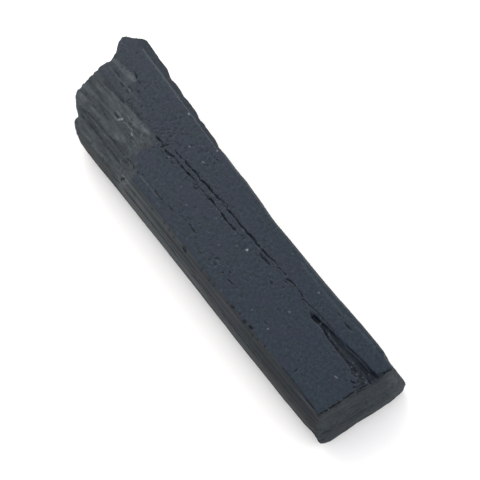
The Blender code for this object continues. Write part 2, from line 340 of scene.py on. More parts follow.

# Cracks, pits, chips and ridges, given one by one. Each is a set of lines and single points in mm
# with a half width (or one for each end), a depth (minus raises a ridge), how ragged its edges
# are, how dark the painted shade along it is, how pale the stone is along it, or how light it is
# inside painted shade.
usual = {"on": "top", "deep": 0.0, "ragged": 0.3}
details = [
    # the crack that wanders along the middle of the upper face, dark with painted shade
    {"on": "walls", "half": 0.2, "deep": 0.2, "ragged": 0.45, "dark": 0.95, "lines": [
        [(-12.83, -0.14), (-12.55, -0.14), (-12.26, -0.1)],
        [(-11.5, -0.49), (-11.46, -0.18), (-11.35, 0.08), (-11.2, 0.39)],
        [(-7.44, -0.04), (-7.13, 0.01), (-6.81, 0.04), (-6.48, 0.07), (-6.19, 0.09)],
        [(-5.54, 0.61), (-5.34, 0.74), (-5.02, 0.77), (-4.55, 0.83), (-4.13, 0.79), (-3.57, 0.79)],
        [(-3.27, 0.84), (-2.89, 0.83), (-2.51, 0.91)],
        [(-3.34, -0.07), (-3.08, 0.15), (-2.78, 0.15), (-2.35, 0.09)],
        [(-0.98, 0.08), (-0.66, 0.04), (-0.27, -0.04), (0.05, -0.01)],
        [(2.24, 0.93), (2.56, 0.97), (2.88, 1), (3.2, 1.03), (3.53, 1.05), (3.85, 1.01), (4.18, 0.97),
         (4.6, 1)],
        [(5.22, 0.6), (5.74, 0.51), (6.13, 0.57), (6.52, 0.59), (6.93, 0.61)]]},
    {"on": "walls", "half": 0.17, "deep": 0.16, "ragged": 0.45, "dark": 0.9, "lines": [
        [(-12.19, -0.12), (-11.91, -0.05)],
        [(-10.97, -0.33), (-10.62, -0.34), (-10.31, -0.26), (-10.03, -0.2), (-9.67, -0.07)],
        [(-9.33, 0.6), (-9.03, 0.52)], [(-8.38, -0.03), (-8.08, -0.04), (-7.69, -0.05)],
        [(-8.49, 0.67), (-8.19, 0.57), (-7.82, 0.59), (-7.52, 0.66)],
        [(-7.3, 0.59), (-6.97, 0.71), (-6.6, 0.71), (-6.27, 0.74), (-5.99, 0.72), (-5.74, 0.62)],
        [(-1.01, 0.84), (-0.69, 0.89), (-0.41, 0.95), (-0.12, 0.94), (0.24, 0.94), (0.61, 0.93),
         (1.03, 0.9), (1.44, 0.86), (1.83, 0.97), (2.17, 0.98)],
        [(0.33, -0.03), (0.75, 0.01), (1.23, 0.06), (1.58, 0.07)],
        [(4.94, 0.93), (5.13, 1.06), (5.48, 1.06), (5.85, 1.05), (6.3, 1.12)],
        [(9.29, 0.99), (9.47, 1.13), (9.8, 1.28), (10.11, 1.31)],
        [(17.12, 2.91), (17.56, 2.97), (18.17, 3)]]},
    {"half": 0.1, "deep": 0.16, "dark": 0.8, "lines": [
        [(-2.22, -3.52), (-1.88, -3.54), (-1.1, -3.58), (-0.8, -3.52)],
        [(5.39, -4.09), (5.87, -3.98), (6.2, -3.96), (6.6, -3.87)],
        [(2.78, -3.72), (2.8, -3.57), (3.01, -3.42), (3.33, -3.5)]]},
    {"half": 0.09, "deep": 0.07, "ragged": 0.4, "dark": 0.45, "lines": [
        [(-1.85, -1.73), (-1.04, -1.65)], [(1.26, -4.67), (1.54, -4.65)], (1.6, -3.88),
        [(3.24, -4.03), (3.42, -4)], (3.92, -3.38), [(4.47, -3.94), (4.74, -3.92)],
        [(4.93, -3.34), (5.12, -3.28)], [(3.89, -4.05), (4.25, -4.05)], [(2.4, 0.27), (2.7, 0.18)],
        [(-3.4, -3.6), (-2.4, -3.5)], [(6.9, -3.8), (7.3, -3.7)]]},
    {"half": 0.11, "deep": -0.04, "pale": 0.04, "lines": [
        [(3.1, -3.65), (3.66, -3.77)], [(-8.3, -4.3), (-8.9, -4.38)]]},
    {"half": 0.11, "deep": 0.14, "ragged": 0.2, "dark": 0.85, "lines": [
        [(12.14, 0.83), (12.33, 1.09), (12.61, 1.14), (12.99, 1.13), (13.41, 1.2), (13.82, 1.29),
         (14.25, 1.36), (14.76, 1.37), (15.43, 1.39), (16.06, 1.43), (16.71, 1.47), (17.19, 1.5)]]},
    {"half": 0.12, "deep": 0.13, "ragged": 0.4, "dark": 0.7, "lines": [
        [(-10.14, -0.87), (-9.87, -0.72), (-9.73, -0.55), (-9.44, -0.63), (-9.05, -0.68)],
        [(-11.02, -0.7), (-10.67, -0.68)], [(-10.19, 0.5), (-9.82, 0.48), (-9.53, 0.54)],
        [(-9.14, -0.03), (-8.87, -0.08), (-8.57, -0.13)], [(-2.49, 0.94), (-2.49, 1.16), (-2.61, 1.31)],
        [(-2.44, 0.97), (-2.12, 1.07), (-1.71, 1.11), (-1.36, 1.19), (-1.15, 0.92)],
        [(-4.72, 0), (-4.34, -0.01)], [(-3.96, -0.1), (-3.65, 0.03)],
        [(-5.67, -0.25), (-5.42, -0.03), (-5.05, -0.03), (-4.96, -0.3), (-5.25, -0.5), (-5.5, -0.43)],
        [(2.38, 0.15), (2.53, 0.44), (2.8, 0.31), (2.75, 0)], [(6.3, 1.12), (6.71, 1.22), (6.98, 1.27)],
        [(7.13, 0.89), (7.52, 0.87), (7.7, 1), (7.8, 1.2), (8.05, 1.27)], [(8.62, 1.25), (8.93, 1.28)],
        [(10.3, 1.36), (10.56, 1.33)], [(11.16, 1.18), (11.39, 1.28), (11.74, 1.28), (12.03, 1.19)],
        [(8.01, -0.33), (8.2, -0.35)], [(8.57, -0.35), (8.87, -0.52)], [(3.63, -0.73), (3.85, -0.63)],
        [(15.73, 3.06), (16.28, 3.03)], [(9.76, 0.09), (9.94, 0.23)], [(11.67, -3.81), (12.23, -3.83)],
        [(8.44, -0.52), (9, -0.6)], [(9.3, 0.7), (9.92, 0.85)], [(18.06, -4), (18.09, -4.6)],
        [(-0.48, -3.83), (-0.23, -3.88)], [(1.03, -4.55), (1.51, -4.5)], [(4.42, -4.11), (4.71, -3.92)],
        [(4.85, -3.35), (5.17, -3.32)], [(18.07, -4.9), (18.14, -4.63), (18.17, -4.31)],
        [(-7.68, -4.1), (-6.99, -4.19), (-6.41, -4.21), (-6.13, -4.14)],
        [(-5.27, -4.09), (-5.04, -3.99), (-4.63, -4.02), (-4.37, -4.08)],
        [(-13.06, -4.09), (-12.54, -4.04), (-11.76, -4.15), (-11.18, -4.37)],
        [(-10.69, -4.3), (-10.37, -4.46)]]},
    # the hairline that joins the crack's open parts, dark with painted shade
    {"on": "walls", "half": 0.1, "deep": 0.09, "ragged": 0.6, "dark": 0.75, "lines": [
        [(-12.83, -0.14), (-11.91, -0.05), (-11.5, -0.3), (-10.97, -0.33), (-10.31, -0.26), (-9.67, -0.07),
         (-9.14, -0.03), (-8.38, -0.03), (-7.69, -0.05), (-7.13, 0.01), (-6.19, 0.09), (-5.6, 0.1),
         (-4.72, 0), (-3.65, 0.03), (-3.08, 0.15), (-2.35, 0.09), (-0.98, 0.08), (0.05, -0.01),
         (1.58, 0.07)],
        [(-10.19, 0.5), (-9.53, 0.54), (-9.03, 0.52), (-8.49, 0.67), (-7.52, 0.66), (-6.6, 0.71),
         (-5.74, 0.62), (-5.02, 0.77), (-3.57, 0.79), (-2.51, 0.91), (-1.01, 0.84), (0.24, 0.94),
         (1.44, 0.86), (2.24, 0.93), (3.53, 1.05), (4.6, 1), (4.94, 0.93), (5.48, 1.06), (6.3, 1.12),
         (6.98, 1.27), (7.8, 1.2), (8.93, 1.28), (9.47, 1.13), (10.11, 1.31), (11.39, 1.28),
         (12.33, 1.09)]]},
    # crumbs of stone that lie across the crack
    {"on": "walls", "half": 0.15, "deep": -0.05, "ragged": 0.5, "light": 0.045, "lines": [
        [(-3.44, 0.51), (-3.16, 0.48)], (-2.19, 0.75), (-1.3, 0.65), (-1.27, 0.02),
        [(1.84, 0.76), (2.2, 0.7)], (1.82, -0.2), [(4.66, 0.77), (5, 0.89)], [(7.24, 0.97), (7.64, 0.91)],
        (9.13, 1.22), (10.54, 1.45), (-5.31, 0.03), (-6.52, -0.1), [(-10.03, -0.6), (-9.54, -0.56)]]},
    # small pits, dark with painted shade
    {"half": 0.11, "deep": 0.11, "ragged": 0.4, "dark": 0.6, "lines": [
        (-12.71, 0.53), (-11.9, 1.18), (-11.77, 0.54), (-10.74, 1.29), (-11.49, 0.6), (-8.77, 3.5),
        [(-7.6, 3.6), (-7.1, 3.4)], (-6.88, 3.47), (-11.9, 1.7), [(-11.4, 2.3), (-11.1, 2.5)],
        (-10.4, 2.97), (-6.33, 3.6), [(3.03, 3.3), (3.46, 3.38)], (-8.47, -1.75), (-6.65, -0.55),
        (-6.03, -0.53), (-18.43, 2.34), (-16.79, 2.33), (-15.28, 0.4), (-16.71, 0.68), (-14.54, 0.35),
        (-24.39, 3.51), (-22.62, 4.26), (23.36, -0.01), [(22.59, -0.48), (22.7, -0.6)], (23.16, -0.73),
        (23.52, 0.39), [(-12.01, -1.7), (-11.78, -1.8)], [(-12.02, -1.21), (-11.79, -1.11)]]},
    # the worn trough: its two deep pits, then its lines of painted shade and the ridges between them
    {"on": "walls", "half": 0.55, "deep": 0.12, "ragged": 0.12, "dark": 0.95, "lines": [
        [(14.1, 0.7), (14.78, 0.8), (15.15, 0.84)]]},
    {"on": "walls", "half": 0.5, "deep": 0.08, "ragged": 0.12, "dark": 0.9, "lines": [
        [(15.78, 0.95), (16.18, 0.95), (16.62, 0.9)]]},
    {"half": 0.1, "deep": -0.1, "ragged": 0.2, "pale": 0.02, "lines": [
        [(15.38, 0.6), (15.5, 0.8), (15.5, 1.05)]]},
    {"on": "walls", "half": (0.22, 0.38), "deep": 0.28, "ragged": 0.2, "dark": 1, "lines": [
        [(16.4, 0.66), (17.4, 0.56), (19.2, 0.5), (20.8, 0.52), (22, 0.59), (23.3, 0.67)]]},
    {"on": "walls", "half": (0.3, 0.6), "deep": 0.05, "ragged": 0.4, "dark": 0.7, "lines": [
        [(20.8, 0.5), (22, 0.5), (23.3, 0.55)]]},
    {"on": "walls", "half": 0.45, "deep": 0.06, "dark": 0.8, "lines": [
        [(22.8, 1.4), (23.4, 1.2), (23.9, 1)], [(23.3, 1.5), (23.95, 1.55)]]},
    {"on": "walls", "half": (0.24, 0.4), "deep": 0.12, "ragged": 0.1, "dark": 0.9, "lines": [
        [(16.8, 1.14), (17.93, 1.16), (19.06, 1.2), (20.14, 1.3), (21.16, 1.38), (22.9, 1.5)]]},
    {"on": "walls", "half": 0.4, "ragged": 0.2, "dark": 0.45, "lines": [
        [(17.4, 0.9), (19.5, 0.9), (21, 0.95), (22.6, 1.1)]]},
    {"on": "walls", "half": (0.1, 0.18), "deep": 0.08, "ragged": 0.1, "dark": 0.75, "lines": [
        [(19, 1.55), (19.79, 1.62), (20.89, 1.8), (22.2, 1.9), (23.14, 1.9)]]},
    {"on": "walls", "half": 0.09, "deep": -0.02, "ragged": 0.15, "light": 0.004, "lines": [
        [(16.8, 0.86), (18.35, 0.8), (19.53, 0.83), (20.83, 0.88), (22.16, 1.05), (23.3, 1.07)]]},
    {"on": "walls", "half": 0.08, "deep": -0.08, "ragged": 0.15, "light": 0.014, "lines": [
        [(19.4, 1.38), (20.3, 1.52), (21.3, 1.66), (22.4, 1.74)]]},
    {"on": "walls", "half": 0.12, "deep": -0.06, "light": 0.1, "lines": [
        (23.4, 0.95), (17, 0.86), (18.2, 0.84), [(20.9, 0.88), (21.1, 0.9)], (22.3, 0.4), (22.9, 0.75),
        (21.3, 0.5)]},
    {"half": 0.36, "deep": 0.12, "dark": 0.8, "lines": [
        [(22.93, 1.75), (23.63, 1.9), (23.92, 2.33), (23.95, 2.83)]]},
    {"half": 0.4, "deep": 0.16, "ragged": 0.7, "dark": 0.75, "lines": [
        [(21.6, 0.3), (22.4, 0.2)], [(22.9, 0.3), (23.5, 0.2)]]},
    {"half": 0.2, "deep": 0.16, "ragged": 0.5, "dark": 0.8, "lines": [
        [(22.5, -0.55), (22.85, -0.4)], [(23.2, -0.9), (23.4, -0.6)], (22.3, -1), (23, 0)]},
    # the crevice along the plain end's upper edge, dark with painted shade
    {"half": 0.17, "deep": 0.22, "ragged": 0.7, "dark": 0.8, "lines": [
        [(23.31, -5.45), (23.38, -5.01), (23.48, -4.55)],
        [(23.42, -4.24), (23.5, -3.91), (23.56, -3.29), (23.6, -2.79)],
        [(23.58, -2.38), (23.62, -1.88), (23.62, -1.47), (23.64, -1.06)],
        [(23.7, -0.72), (23.75, -0.34), (23.8, 0.04), (23.9, 0.61)],
        [(23.87, 2.68), (24, 3.24), (24.02, 3.63)]]},
    {"half": 0.3, "deep": 0.12, "dark": 0.45, "lines": [
        [(23.5, -0.6), (23.6, 0.3), (23.5, 0.6)], [(22.75, -0.5), (23.1, -0.3)]]},
    # nicks in the edge above the -Y side, dark with painted shade
    {"half": 0.2, "deep": 0.2, "dark": 0.6, "lines": [
        (-6.17, -5.57), (-3.96, -5.47), (-3.02, -5.56), (-2.09, -5.57), (2.86, -5.51), (4.28, -5.49),
        (5.12, -5.51), (7.55, -5.52), (9.5, -5.37), (12.1, -5.6), (12.84, -5.5), (13.96, -5.42)]},
    {"half": 0.3, "deep": 0.32, "ragged": 0.25, "dark": 0.85, "lines": [
        [(-0.45, -5.5), (0, -5.55)], [(8.2, -5.45), (8.5, -5.4)], [(10.3, -5.46), (10.6, -5.4)],
        [(11.2, -5.35), (11.6, -5.3)]]},
    # the groove along the edge, near the plain end, dark with painted shade
    {"half": 0.13, "deep": 0.16, "ragged": 0.15, "dark": 0.7, "lines": [
        [(16.97, -5.4), (18.21, -5.35), (19.57, -5.4), (20.58, -5.42), (21.54, -5.48), (22.69, -5.48)]]},
    # grooves along the broken shoulder, dark with painted shade
    {"half": 0.28, "deep": 0.08, "ragged": 0.35, "dark": 0.4, "lines": [
        [(-22.16, -0.64), (-21.43, -0.6), (-20.68, -0.56), (-19.74, -0.5), (-18.98, -0.5), (-18.57, -0.52)],
        [(-18.28, -0.26), (-17.6, -0.2), (-16.71, -0.15), (-16.05, -0.21), (-15.28, -0.22)]]},
    {"half": 0.3, "deep": 0.02, "ragged": 0.6, "dark": 0.22, "lines": [
        [(-18.9, 0.3), (-17.6, 0.1), (-15.7, 0), (-13.9, -0.05), (-12.9, 0.1)]]},
    {"half": 0.15, "deep": 0.12, "ragged": 0.4, "dark": 0.55, "lines": [
        [(-19.1, -0.52), (-18.5, -0.52)], [(-18.39, -1.91), (-17.94, -1.96), (-17.62, -1.97)],
        (-10.94, -5.28), [(-11.45, -4.31), (-11.27, -4.38)], (-9.93, -4.09),
        [(-22.5, 1.01), (-21.87, 1.05), (-21.4, 0.99)], [(-20.76, 0.61), (-20.11, 0.63)],
        [(-19.53, 0.6), (-19.06, 0.5)], [(-18.78, 1.56), (-18.48, 1.54), (-18.17, 1.53)],
        [(-19.63, 2.31), (-19.16, 2.31)], [(-20.87, -4.72), (-20.45, -4.74)]]},
    {"half": 0.22, "deep": 0.12, "dark": 0.4, "lines": [
        [(-20.78, -4.04), (-19.93, -4.07), (-19.12, -3.98), (-18.41, -3.95), (-17.59, -3.98), (-16.78, -4),
         (-16.24, -3.98), (-15.58, -3.98), (-14.77, -3.99), (-14.04, -4.08), (-13.51, -4.11)],
        [(-19.58, -4.65), (-18.73, -4.68), (-17.53, -4.69), (-16.68, -4.72), (-15.72, -4.84),
         (-14.72, -4.86), (-13.63, -4.94), (-13.17, -5)]]},
    {"half": 0.4, "dark": 0.18, "lines": [
        [(-16.6, -4.5), (-14.98, -4.54), (-13.71, -4.62), (-13.3, -4.8)],
        [(-20.33, -2.62), (-19.59, -2.59)]]},
    {"half": 0.12, "deep": 0.1, "dark": 0.75, "lines": [
        [(-19.85, 1.03), (-19.41, 1.07), (-18.9, 1.08)], [(-20.91, 2.61), (-20.47, 2.57)],
        [(-14.38, -6), (-13.94, -6)], [(-15.32, -6), (-14.93, -6)],
        [(-13.11, -6.1), (-12.52, -6.1), (-11.96, -6.1)]]},
    {"half": 0.2, "deep": 0.16, "dark": 0.8, "lines": [[(-20.47, 2.57), (-20.04, 2.4)]]},
    # light ridges and bruises on the shoulder
    {"half": 0.14, "deep": -0.06, "pale": 0.05, "lines": [
        [(-23.26, -3.18), (-22.76, -3.19), (-22.21, -3.15), (-21.67, -3.11), (-21.08, -3.11)],
        [(-20.56, -0.8), (-19.8, -0.78), (-19, -0.76), (-18.21, -0.66), (-17.31, -0.62), (-16.37, -0.6),
         (-15.43, -0.6)],
        [(-23.32, 0.83), (-22.69, 0.8), (-21.87, 0.78), (-21.06, 0.76), (-20.36, 0.81), (-19.85, 0.86)],
        [(-13.87, -2.09), (-13.18, -2.23)], [(-13.97, -1.47), (-13.49, -1.74), (-12.96, -1.91)],
        [(-13.94, -0.5), (-13.51, -0.54), (-13.13, -0.54)],
        [(-13.05, -5.07), (-13.43, -4.68), (-13.35, -4.22)],
        [(-12.39, -4.29), (-12.1, -4.37), (-11.59, -4.58)], (-12.47, -5.29),
        [(-17.28, -4.28), (-16.73, -4.33)]]},
    {"half": 0.3, "deep": -0.03, "ragged": 0.35, "pale": 0.055, "lines": [
        [(-23.23, -3.49), (-22.81, -3.43), (-22.31, -3.43), (-21.94, -3.48)],
        [(-20.79, -3.45), (-20.32, -3.5), (-19.86, -3.55), (-19.31, -3.52)],
        [(-18.86, -3.7), (-18.31, -3.67), (-17.77, -3.64), (-17.28, -3.71)],
        [(-16.05, -3.55), (-15.5, -3.53)], [(-20.52, -5.49), (-20.12, -5.55)],
        [(-18.6, -5.79), (-17.91, -5.8)], [(-17.22, -5.9), (-16.8, -5.9), (-16.22, -5.95)]]},
    {"half": 0.42, "deep": -0.05, "pale": 0.1, "lines": [
        [(-23.6, 1.75), (-22.48, 1.8), (-21.59, 1.85), (-20.68, 1.95), (-19.9, 2)]]},
    {"half": 0.5, "deep": -0.04, "ragged": 0.5, "pale": 0.07, "lines": [
        [(-17.3, -1.05), (-16.71, -1), (-15.7, -0.9), (-14.64, -0.84), (-13.6, -0.65)]]},
    {"half": 0.55, "ragged": 0.5, "pale": 0.035, "lines": [
        [(-22.54, -1.46), (-21.82, -1.41), (-21.1, -1.36), (-20.58, -1.32), (-19.64, -1.15),
         (-18.75, -1.09), (-17.68, -1.02), (-16.71, -1.02), (-15.7, -0.9), (-14.64, -0.84),
         (-13.41, -0.61)],
        [(-22.54, -1.46), (-21.82, -1.41), (-21.1, -1.36)]]},
    {"half": 0.7, "ragged": 0.5, "pale": 0.04, "lines": [[(-16.9, -3.25), (-15, -3.15)]]},
    {"half": 0.2, "deep": -0.05, "pale": 0.09, "lines": [
        [(-19.41, 0.84), (-19.09, 0.86)], (-15.46, -5.98),
        [(-18.37, -1.64), (-17.88, -1.65), (-17.48, -1.73)], [(-18, -2.28), (-17.35, -2.24)],
        [(-15.99, -0.98), (-15.3, -1.07)],
        [(-16.76, -1.83), (-16.38, -1.68), (-15.93, -1.73), (-15.49, -1.77)], [(-16.9, -1), (-16.5, -1)],
        [(-19.01, -1.04), (-18.57, -1.08)]]},
    {"half": 0.3, "deep": -0.08, "ragged": 0.35, "pale": 0.38, "lines": [[(-17.4, -2.1), (-17.25, -1.75)]]},
    {"half": 0.28, "deep": -0.06, "ragged": 0.9, "pale": 0.13, "lines": [
        [(-16.04, -1.01), (-15.61, -1.12), (-15.26, -1.1)], [(-14.6, -0.9), (-13.9, -0.8)]]},
    {"half": 0.13, "deep": -0.06, "ragged": 0.4, "pale": 0.26, "lines": [
        [(-15.2, -1.92), (-14.77, -2.08)]]},
    {"half": 0.11, "deep": -0.05, "pale": 0.16, "lines": [
        [(-15.6, -1.6), (-15.25, -1.76)], [(-15, -1.9), (-14.75, -2.05)], [(-16.8, -1.5), (-16.5, -1.45)],
        [(-14.4, -1.2), (-14.1, -1.25)], [(-18.2, -1.3), (-17.9, -1.3)]]},
    # painted highlights along the crest beside the bevel, and further on along the +Y edge
    {"half": 0.19, "deep": -0.03, "ragged": 0.5, "pale": 0.08, "lines": [
        [(-22.6, 5.06), (-20.14, 4.97), (-18.03, 4.84), (-16.21, 4.76), (-14.29, 4.62)]]},
    {"half": 0.1, "deep": -0.03, "pale": 0.09, "lines": [
        [(-14.29, 4.62), (-12.28, 4.52), (-10.55, 4.43), (-8.83, 4.33), (-7.54, 4.3)]]},
    {"half": 0.22, "ragged": 0.6, "pale": 0.03, "lines": [
        [(8.7, 3.5), (10.35, 3.4), (12.05, 3.35), (13.55, 3.3), (15.7, 3.35), (17.4, 3.6), (19.7, 3.75),
         (21.2, 3.8)]]},
    # painted highlights along the step in the upper face: a light line and its light edge
    {"half": 0.12, "deep": -0.03, "ragged": 0.2, "pale": 0.06, "lines": [
        [(-10.04, -4.43), (-9.54, -4.38), (-8.95, -4.4), (-8.37, -4.42), (-7.88, -4.37), (-7.29, -4.38),
         (-6.7, -4.4)],
        [(-6.29, -4.84), (-5.8, -4.79)]]},
    # grains of dust
    {"half": 0.2, "deep": -0.07, "ragged": 0.1, "pale": 0.6, "lines": [(4.08, -0.32)]},
    {"half": 0.16, "deep": -0.05, "ragged": 0.2, "pale": 0.5, "lines": [
        [(-12.95, 4.4), (-12.8, 4.36)], (-7.32, 4.2)]},
    {"half": 0.16, "deep": -0.05, "ragged": 0.2, "pale": 0.2, "lines": [
        (12.65, -4.02), (12.51, -1.01), (-9.57, 2.03), [(-7.3, 2.05), (-7.05, 2.15)],
        [(21.09, -1.6), (21.41, -1.52)], (12.71, 2.84), (-9.96, -0.52)]},
    {"half": 0.16, "deep": -0.03, "ragged": 0.2, "pale": 0.09, "lines": [
        [(-0.2, -2.48), (-0.02, -2.37)], (1.75, -2.4), (9.91, -4.07), (6.12, -5.35), (3.05, -0.91),
        (-0.91, -0.72), (-1.78, -0.07), (7.5, 3.33), (-24.6, 3.6), (-4.1, -2.41)]},
    {"half": 0.14, "deep": -0.02, "ragged": 0.2, "pale": 0.05, "lines": [
        (1.78, -0.26), (-0.88, -4.75), (-1.98, -5.2), (3.06, -4.3), (4.92, -2.63), (6.87, -1.96),
        (-7.01, 2.12), (-1.27, 0.64), (9.12, -1.72), (7.76, -0.07), (12.75, -3.42), (15.63, -3.89),
        (-8.52, -3.22), (-6.18, -1.52), (13.28, -2.62), (15.07, -0.63), (9.14, -5.2), (-2.78, -1.98),
        (10.89, -1.46), (-19.84, 3.92)]},
    {"half": 0.08, "deep": -0.02, "ragged": 0.1, "pale": 0.06, "lines": [
        [(1.6, 2.93), (1.7, 3.2), (1.98, 3.33)]]},
    # long lines on the -Y side: x, z
    {"on": "left", "half": 0.14, "deep": 0.12, "ragged": 0.2, "dark": 0.5, "lines": [
        [(-11.2, 4.88), (-10.3, 4.91), (-9.2, 4.98), (-8, 4.92), (-6.7, 5.01), (-5.5, 4.95), (-4.2, 4.92),
         (-2.9, 4.89), (-1.6, 4.86), (-0.5, 4.6), (1.5, 4.8), (3.2, 5.08), (4.5, 5.1), (5.6, 5.25),
         (6.7, 5.21), (7.8, 5.11), (8.9, 5.06), (10.2, 4.94), (11.2, 4.86), (12.2, 4.91), (14, 4.8)],
        [(-10.8, 6.33), (-9.9, 6.35), (-9, 6.37)],
        [(18.91, 6.48), (20.06, 6.51), (21.06, 6.53), (22.12, 6.46), (23.1, 6.45)]]},
    {"on": "left", "half": 0.12, "deep": -0.04, "ragged": 0.2, "pale": 0.05, "lines": [
        [(-10.08, 6.92), (-8.3, 7), (-7.26, 7.1), (-6.17, 7.38), (-5.26, 7.41), (-4.17, 7.47),
         (-2.86, 7.43), (-1.44, 7.55), (-0.36, 7.61)],
        [(19.83, 7.4), (20.98, 7.46), (21.97, 7.51), (22.96, 7.54)], [(-10.8, 6), (-8, 6.05), (-5, 6.1)]]},
    {"on": "left", "half": 1.4, "ragged": 0.2, "pale": 0.04, "lines": [[(4, 3.5), (12, 3.6), (23, 3.4)]]},
    {"on": "left", "half": 1.4, "ragged": 0.2, "pale": 0.07, "lines": [
        [(-12, 3.7), (-6, 3.6), (0, 3.5), (5, 3.6)]]},
    {"on": "left", "half": 0.3, "deep": 0.2, "dark": 0.9, "lines": [
        [(-11.74, 5.91), (-11.52, 6.49), (-11.3, 6.8)]]},
    {"on": "left", "half": 0.5, "deep": -0.05, "ragged": 0.4, "pale": 0.07, "lines": [
        [(-11.1, 5.9), (-10.5, 6.3), (-9.4, 6.2)]]},
    # marks on the plain end: y, z
    {"on": "end", "half": 0.3, "ragged": 0.4, "pale": 0.03, "lines": [
        [(-5.18, 6.6), (-4.26, 6.94), (-3.05, 6.6), (-1.51, 6.58), (-0.27, 6.2)],
        [(-5.3, 5.2), (-5.2, 6.6)]]},
    {"on": "end", "half": 0.16, "deep": 0.08, "dark": 0.35, "lines": [
        [(-2.56, 5.61), (-1.9, 5.48), (-0.99, 5.31)], [(1.72, 3.93), (2.95, 3.82), (3.96, 3.62)],
        [(-3.78, 3.75), (-2.78, 3.54), (-0.84, 3.4), (1.04, 3.23)]]},
    {"on": "end", "half": 0.3, "deep": 0.14, "ragged": 0.4, "dark": 0.6, "lines": [
        [(-5.56, 3.53), (-5.13, 3.62), (-4.7, 3.35)], [(-5.8, 1.9), (-5.36, 2.4)]]},
    {"on": "end", "half": 1.1, "ragged": 0.4, "pale": 0.035, "lines": [[(3.6, 6.5), (3.5, 3)]]},
    {"on": "end", "half": 0.45, "deep": -0.03, "ragged": 0.5, "pale": 0.09, "lines": [
        [(3.35, 6.65), (3.84, 5.79), (4.03, 4.92)]]},
]
details = [{**usual, **detail} for detail in details]

wander = {
    "lump": 0.2,  # mm, size of the raggedness
    "least": 0.3,  # part of a cut's width that this always leaves
    "taper": 0.3,  # mm over which a cut widens from its ends
    "ends": 0.6,  # part of its width that it has there
    "finer": 0.12,  # mm outside a cut's edge where the net is made finer
    "finerInside": 0.3,  # mm inside it
    "depth": 0.85,  # part of its depth that a cut has on average
    "depthChange": 0.4,
    "depthLump": (0.5, 0.5, 0.5),  # mm
    "depthSeed": 400,
    "cutReach": 0.2,  # mm beyond its width where a line may cut
    "toneReach": 0.05,  # and where it may be dark or pale
    "tone": 1.6,  # how soon that is full, from the edge inwards
}

# Places where the outline from above is pushed in or out: x, y, how far round, and the shift.
dentsAbove = (1.0, 4.0)  # mm, the heights that they fade in between, or an own pair
dents = [
    {"at": (-21.3, -4.35), "reach": 0.9, "shift": (0.28, 0.36)},
    {"at": (-22.3, -3.6), "reach": 0.9, "shift": (-0.1, -0.06)},
    {"at": (-24.2, 5.0), "reach": 0.8, "shift": (0.1, 0.0)},
    {"at": (-24.7, 4.6), "reach": 0.6, "shift": (0.2, -0.1)},
    {"at": (-23.8, -0.3), "reach": 0.7, "shift": (0.14, 0.1)},
    {"at": (-23.3, -3.9), "reach": 0.6, "shift": (-0.1, -0.06)},
    {"at": (-21.55, -4.95), "reach": 0.65, "shift": (0.24, 0.28)},
    {"at": (-22.6, -4.4), "reach": 0.5, "shift": (-0.1, -0.08)},
    {"at": (23.5, -6.1), "reach": 0.7, "shift": (0.1, 0.13)},
    {"at": (24.4, -5.85), "reach": 0.7, "shift": (0.06, -0.15), "above": (0.2, 1.0)},
]

# Pits strewn at random over the upper face: how many, where (low and high x, then y).
pits = {
    "seed": 11,
    "fields": [(300, (-23, 23), (-5.2, 4.2)), (110, (-13.6, -8.6), (-0.9, 2.3)),
               (50, (-9.6, -5.6), (2.2, 3.8)), (110, (-19.5, -12), (-0.2, 4.0)),
               (30, (19, 23.4), (-1.5, 0.5)), (90, (-8, 8), (-0.6, 1.6)),
               (40, (0, 8), (-4.6, -3.0))],
    "across": (0.05, 0.13),  # mm, half width
    "deep": (0.02, 0.07),  # mm
    "long": (1.0, 2.2),  # times as long as wide
    "dark": 0.6,  # painted shade, in the middle of the deepest
    "facingUp": 0.6,  # least upward part of the normal
    "above": 5.0,  # mm
}


def distanceTo(line, spots):
    # from each spot to the nearest part of a line of points, and how far along it that is
    nearest = np.linalg.norm(spots - line[0], axis=1)
    along = np.zeros(len(spots))
    done = 0.0
    for start, end in zip(line, line[1:]):
        step = end - start
        length = np.linalg.norm(step)
        share = np.clip((spots - start) @ step / length ** 2, 0, 1)
        gap = np.linalg.norm(spots - start - share[:, None] * step, axis=1)
        closer = gap < nearest
        nearest[closer] = gap[closer]
        along[closer] = done + share[closer] * length
        done += length
    return nearest, along, done


def nearLine(points, normals, detail, line, reach):
    # the points near a line, their gap to it, its half width, the way along it and its length
    axes, out, steepest = faceSides[detail["on"]]
    line = np.atleast_2d(line)
    flat = points[:, axes]
    wide = np.max(detail["half"]) + reach
    low, high = line.min(axis=0) - wide, line.max(axis=0) + wide
    near = np.flatnonzero(np.all((flat > low) & (flat < high), axis=1)
                          & (normals @ out > steepest))
    gap, along, length = distanceTo(line, flat[near])
    start, end = np.broadcast_to(detail["half"], 2)
    half = start + (end - start) * (along / length if length > 0 else 0)
    return near, gap, half, along, length


def alongLines(points, normals, reach):
    # each line in turn, with the points near it and their share in it, which is 1 in its
    # middle and falls to 0 at its ragged edge
    seed = 0
    for detail in details:
        for line in detail["lines"]:
            seed += 1
            near, gap, half, along, length = nearLine(points, normals, detail, line, reach)
            lumps = unevenness(points[near], [wander["lump"]] * 3, seed)
            ragged = np.maximum(1 + 2 * detail["ragged"] * lumps, wander["least"])
            if length > 0:
                fade = ramp(np.minimum(along, length - along), 0, wander["taper"])
                half = half * (wander["ends"] + (1 - wander["ends"]) * fade)
            inside = np.clip(1 - gap / (half * ragged), 0, 1)
            yield detail, seed, near, inside * inside * (3 - 2 * inside)


